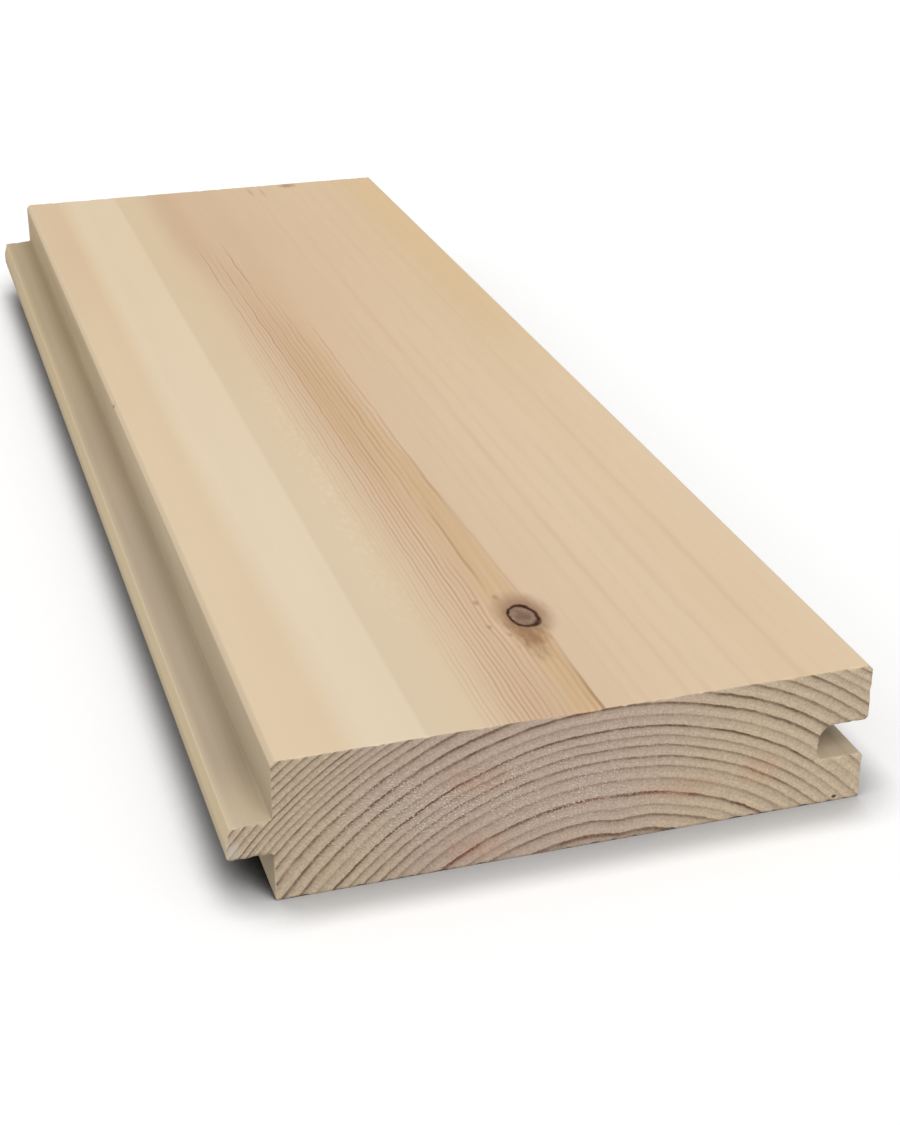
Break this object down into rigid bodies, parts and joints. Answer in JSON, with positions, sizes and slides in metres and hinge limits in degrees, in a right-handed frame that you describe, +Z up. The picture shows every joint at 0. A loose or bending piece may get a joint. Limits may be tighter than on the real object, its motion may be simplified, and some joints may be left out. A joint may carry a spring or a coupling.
{
  "type": "pine floorboard",
  "caption": "Solid pine floorboard with a planed face, a bevel-nosed tongue along one long edge and a round-backed groove along the other, so that boards lock side by side.",
  "frame": {"origin": "on the floor under the board, midway along its length and midway across its full width, tongue included", "axes": "+Y along the length to the far end, +Z up out of the face, +X towards the groove, so the tongue points to -X"},
  "size_m": [0.12, 0.345, 0.028],
  "materials": {
    "pine": "planed, untreated and matt, with sawn ends"
  },
  "bodies": {
    "root": {"floorboard": "pine"}
  },
  "joints": []
}
